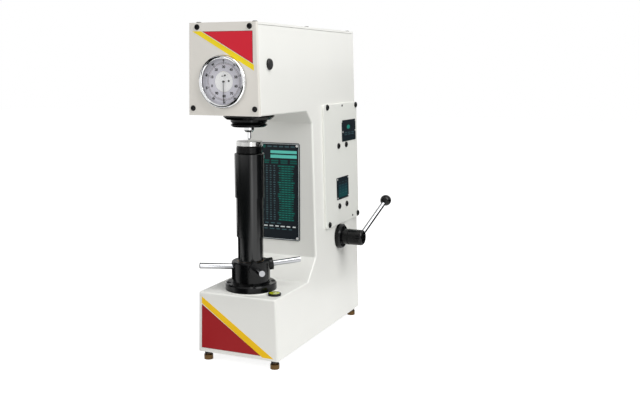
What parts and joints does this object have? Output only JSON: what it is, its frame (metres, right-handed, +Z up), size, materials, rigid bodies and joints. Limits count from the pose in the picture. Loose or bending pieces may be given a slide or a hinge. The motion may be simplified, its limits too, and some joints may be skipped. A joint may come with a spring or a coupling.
{
  "type": "bench hardness tester",
  "caption": "Manual dead-weight hardness tester: C-shaped cast body with a dial in the head, elevating screw with capstan, anvil, indenter and side loading lever.",
  "frame": {"origin": "centre of the pattern of the four levelling feet, on the bench surface", "axes": "+X to the operator's right (lever side), +Y to the rear, +Z up"},
  "size_m": [0.2527, 0.4655, 0.6405],
  "materials": {
    "body_enamel": "smooth off-white machine enamel",
    "head_enamel": "light warm grey machine enamel",
    "panel_enamel": "off-white panel enamel",
    "black_screws": "black oxide screws",
    "bright_screws": "bright plated screws and rivets",
    "label_ink": "anodised label plate, dark teal",
    "chart_ink": "printed plate, dark navy",
    "black_rubber": "moulded rubber plug",
    "gauge_body": "turned housing",
    "movement_brass": "brass plates",
    "black_steel": "blackened steel, semi-gloss",
    "black_sleeve": "black enamelled steel tube",
    "bronze": "bearing bronze",
    "bronze_feet": "dull bronze-brown plating",
    "steel": "ground steel",
    "cast_iron": "turned cast iron",
    "chrome": "polished chrome plate",
    "knob_plastic": "phenolic ball knob",
    "level_fluid": "yellow-green level vial",
    "diamond": "diamond cone tip",
    "pointer_black": "black enamel",
    "dial_print": "brushed silver dial",
    "clear_glass": "flat dial glass"
  },
  "bodies": {
    "root": {"frame_casting": "body_enamel", "top_cover": "body_enamel", "front_plate": "head_enamel", "rear_cover": "body_enamel", "side_cover": "panel_enamel", "cover_screws": "black_screws", "side_screws": "black_screws", "label_plates": "label_ink", "plate_screws": "bright_screws", "side_plug": "black_rubber", "chart_plate": "chart_ink", "gauge_case": "gauge_body", "gauge_movement": "movement_brass", "screw_base_flange": "black_steel", "flange_screws": "black_screws", "guide_bushes": "bronze", "inner_dial": "dial_print", "guide_key": "steel", "bearing_lower_race": "steel", "head_flange": "black_steel", "spindle_collar": "black_steel", "fulcrum_bridge": "cast_iron", "lever_flange": "black_steel", "dashpot_cylinder": "gauge_body", "level_housing": "black_steel", "level_vial": "level_fluid", "levelling_feet": "bronze_feet", "foot_locknuts": "black_screws"},
    "screw": {"elevating_screw": "steel", "anvil_ring": "black_steel", "anvil": "chrome", "upper_sleeve": "black_sleeve"},
    "middle_sleeve": {"middle_sleeve": "black_sleeve"},
    "capstan": {"capstan_hub": "black_steel", "capstan_bars": "chrome", "capstan_nut": "bronze", "bearing_upper_race": "steel", "lower_sleeve": "black_sleeve"},
    "spindle": {"spindle": "steel", "indenter_holder": "chrome", "indenter_clamp_screw": "black_screws", "indenter": "chrome", "indenter_tip": "diamond"},
    "load_lever": {"lever_shaft": "steel", "lift_cam": "steel", "lever_hub": "black_steel", "lever_rod": "chrome", "lever_knob": "knob_plastic"},
    "main_lever": {"main_lever": "steel", "knife_edges": "steel", "minor_load_poise": "cast_iron"},
    "weights": {"weight_hanger": "steel", "weights": "cast_iron"},
    "dashpot_piston": {"dashpot_piston": "steel"},
    "gauge_plunger": {"gauge_plunger": "steel"},
    "pointer": {"pointer": "pointer_black"},
    "small_pointer": {"small_pointer": "pointer_black"},
    "bezel": {"bezel": "chrome", "dial_face": "dial_print", "dial_glass": "clear_glass"}
  },
  "joints": [
    {"name": "capstan_turn", "type": "hinge", "parent": "root", "child": "capstan", "pos_m": [0, -0.1525, 0.17], "axis": [0, 0, 1], "range_deg": [0, 4725]},
    {"name": "screw_lift", "type": "slide", "parent": "root", "child": "screw", "axis": [0, 0, 1], "range_m": [-0.1052, 0.0002]},
    {"name": "middle_sleeve_lift", "type": "slide", "parent": "root", "child": "middle_sleeve", "axis": [0, 0, 1], "range_m": [-0.0465, 0.0002]},
    {"name": "load_lever_turn", "type": "hinge", "parent": "root", "child": "load_lever", "pos_m": [0, 0.1025, 0.2015], "axis": [1, 0, 0], "range_deg": [0, 110]},
    {"name": "weights_drop", "type": "slide", "parent": "root", "child": "weights", "axis": [0, 0, 1], "range_m": [-0.0106, 0.0001]},
    {"name": "main_lever_tilt", "type": "hinge", "parent": "root", "child": "main_lever", "pos_m": [0, -0.1645, 0.5655], "axis": [1, 0, 0], "range_deg": [-2.27, 0.01]},
    {"name": "spindle_press", "type": "slide", "parent": "root", "child": "spindle", "axis": [0, 0, 1], "range_m": [-0.00048, 0.00001]},
    {"name": "dashpot_stroke", "type": "slide", "parent": "root", "child": "dashpot_piston", "axis": [0, 0, 1], "range_m": [-0.0131, 0.0001]},
    {"name": "gauge_plunger_rise", "type": "slide", "parent": "root", "child": "gauge_plunger", "axis": [0, 0, 1], "range_m": [-0.00001, 0.0023]},
    {"name": "pointer_turn", "type": "hinge", "parent": "root", "child": "pointer", "pos_m": [0, -0.244, 0.5355], "axis": [0, 1, 0], "range_deg": [-825, 1]},
    {"name": "small_pointer_turn", "type": "hinge", "parent": "root", "child": "small_pointer", "pos_m": [0.003, -0.244, 0.5465], "axis": [0, 1, 0], "range_deg": [-1, 83]},
    {"name": "bezel_turn", "type": "hinge", "parent": "root", "child": "bezel", "pos_m": [0, -0.25, 0.5355], "axis": [0, 1, 0], "continuous": true}
  ],
  "couplings": [
    {"joint": "screw_lift", "follows": "capstan_turn", "m_per_rad": -0.0012732},
    {"joint": "middle_sleeve_lift", "follows": "capstan_turn", "m_per_rad": -0.00056023},
    {"joint": "weights_drop", "follows": "load_lever_turn", "m_per_rad": -0.0054691},
    {"joint": "main_lever_tilt", "follows": "load_lever_turn", "ratio": -0.020484},
    {"joint": "spindle_press", "follows": "load_lever_turn", "m_per_rad": -0.00024481},
    {"joint": "dashpot_stroke", "follows": "load_lever_turn", "m_per_rad": -0.0067494},
    {"joint": "gauge_plunger_rise", "follows": "load_lever_turn", "m_per_rad": 0.0011881},
    {"joint": "pointer_turn", "follows": "load_lever_turn", "ratio": -7.4648},
    {"joint": "small_pointer_turn", "follows": "load_lever_turn", "ratio": 0.74648}
  ]
}
